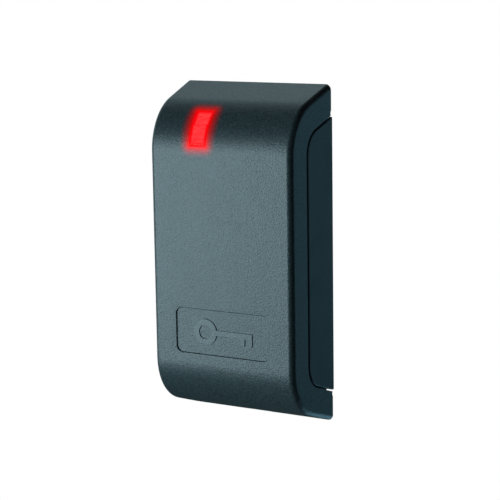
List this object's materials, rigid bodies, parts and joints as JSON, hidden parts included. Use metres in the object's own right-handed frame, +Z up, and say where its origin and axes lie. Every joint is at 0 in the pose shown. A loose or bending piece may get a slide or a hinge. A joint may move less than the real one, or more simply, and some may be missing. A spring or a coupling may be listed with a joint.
{
  "type": "wall-mounted rfid card reader",
  "caption": "Slim wall-mounted proximity card reader: round-cornered lift-off front with a light window and a sunk badge, over a base tray with board, coil and terminals.",
  "frame": {"origin": "centre of the back face, on the wall plane", "axes": "+Z up, +Y into the wall, the front faces -Y, +X to the right seen from the front"},
  "size_m": [0.0502, 0.0232, 0.1018],
  "materials": {
    "cover_plastic": "finely textured satin, dark slate",
    "base_plastic": "finely textured satin, near black",
    "light_plastic": "translucent red, lit",
    "rubber": "soft black",
    "board_laminate": "green solder mask",
    "white_plastic": "natural nylon",
    "enamelled_copper": "enamelled copper wire",
    "zinc_steel": "zinc plated",
    "black_plastic": "moulded black",
    "led_lens": "clear resin on a white body",
    "chip_epoxy": "black moulding compound",
    "ceramic": "fired ceramic",
    "bright_can": "bright metal",
    "film_case": "dipped film capacitor",
    "green_plastic": "moulded green nylon"
  },
  "bodies": {
    "base": {"base_housing": "base_plastic", "cable_grommet": "rubber", "circuit_board": "board_laminate", "coil_former": "white_plastic", "antenna_winding": "enamelled_copper", "antenna_lead_start": "enamelled_copper", "antenna_lead_end": "enamelled_copper", "board_screw_top_left": "zinc_steel", "board_screw_top_right": "zinc_steel", "board_screw_bottom_left": "zinc_steel", "board_screw_bottom_right": "zinc_steel", "light_shroud": "black_plastic", "status_led_1": "led_lens", "status_led_2": "led_lens", "status_led_3": "led_lens", "microcontroller": "chip_epoxy", "radio_chip": "chip_epoxy", "interface_driver": "chip_epoxy", "surge_suppressor": "chip_epoxy", "voltage_regulator": "chip_epoxy", "matching_capacitor_1": "ceramic", "matching_capacitor_2": "ceramic", "crystal": "bright_can", "reservoir_capacitor": "bright_can", "tuning_capacitor": "film_case", "sounder": "black_plastic", "terminal_block": "green_plastic", "tamper_switch": "black_plastic"},
    "cover": {"front_cover": "cover_plastic", "light_pipe": "light_plastic"},
    "tamper_button": {"tamper_plunger": "white_plastic"},
    "wire_screw_1": {"terminal_screw_1": "zinc_steel"},
    "wire_clamp_1": {"terminal_clamp_1": "bright_can"},
    "wire_screw_2": {"terminal_screw_2": "zinc_steel"},
    "wire_clamp_2": {"terminal_clamp_2": "bright_can"},
    "wire_screw_3": {"terminal_screw_3": "zinc_steel"},
    "wire_clamp_3": {"terminal_clamp_3": "bright_can"},
    "wire_screw_4": {"terminal_screw_4": "zinc_steel"},
    "wire_clamp_4": {"terminal_clamp_4": "bright_can"},
    "wire_screw_5": {"terminal_screw_5": "zinc_steel"},
    "wire_clamp_5": {"terminal_clamp_5": "bright_can"}
  },
  "joints": [
    {"name": "cover_lift", "type": "slide", "parent": "base", "child": "cover", "axis": [0, -1, 0], "range_m": [0, 0.03]},
    {"name": "tamper_press", "type": "slide", "parent": "base", "child": "tamper_button", "axis": [0, 1, 0], "range_m": [0, 0.0008], "stiffness_N_per_m": 400, "springref_m": -0.0005},
    {"name": "wire_screw_1_turn", "type": "hinge", "parent": "base", "child": "wire_screw_1", "pos_m": [-0.01, -0.018, -0.0128], "axis": [0, 1, 0], "range_deg": [0, 864]},
    {"name": "wire_clamp_1_rise", "type": "slide", "parent": "base", "child": "wire_clamp_1", "axis": [0, -1, 0], "range_m": [0, 0.0012]},
    {"name": "wire_screw_2_turn", "type": "hinge", "parent": "base", "child": "wire_screw_2", "pos_m": [-0.005, -0.018, -0.0128], "axis": [0, 1, 0], "range_deg": [0, 864]},
    {"name": "wire_clamp_2_rise", "type": "slide", "parent": "base", "child": "wire_clamp_2", "axis": [0, -1, 0], "range_m": [0, 0.0012]},
    {"name": "wire_screw_3_turn", "type": "hinge", "parent": "base", "child": "wire_screw_3", "pos_m": [0, -0.018, -0.0128], "axis": [0, 1, 0], "range_deg": [0, 864]},
    {"name": "wire_clamp_3_rise", "type": "slide", "parent": "base", "child": "wire_clamp_3", "axis": [0, -1, 0], "range_m": [0, 0.0012]},
    {"name": "wire_screw_4_turn", "type": "hinge", "parent": "base", "child": "wire_screw_4", "pos_m": [0.005, -0.018, -0.0128], "axis": [0, 1, 0], "range_deg": [0, 864]},
    {"name": "wire_clamp_4_rise", "type": "slide", "parent": "base", "child": "wire_clamp_4", "axis": [0, -1, 0], "range_m": [0, 0.0012]},
    {"name": "wire_screw_5_turn", "type": "hinge", "parent": "base", "child": "wire_screw_5", "pos_m": [0.01, -0.018, -0.0128], "axis": [0, 1, 0], "range_deg": [0, 864]},
    {"name": "wire_clamp_5_rise", "type": "slide", "parent": "base", "child": "wire_clamp_5", "axis": [0, -1, 0], "range_m": [0, 0.0012]}
  ],
  "couplings": [
    {"joint": "wire_screw_1_turn", "follows": "wire_clamp_1_rise", "rad_per_m": 12566},
    {"joint": "wire_screw_2_turn", "follows": "wire_clamp_2_rise", "rad_per_m": 12566},
    {"joint": "wire_screw_3_turn", "follows": "wire_clamp_3_rise", "rad_per_m": 12566},
    {"joint": "wire_screw_4_turn", "follows": "wire_clamp_4_rise", "rad_per_m": 12566},
    {"joint": "wire_screw_5_turn", "follows": "wire_clamp_5_rise", "rad_per_m": 12566}
  ]
}
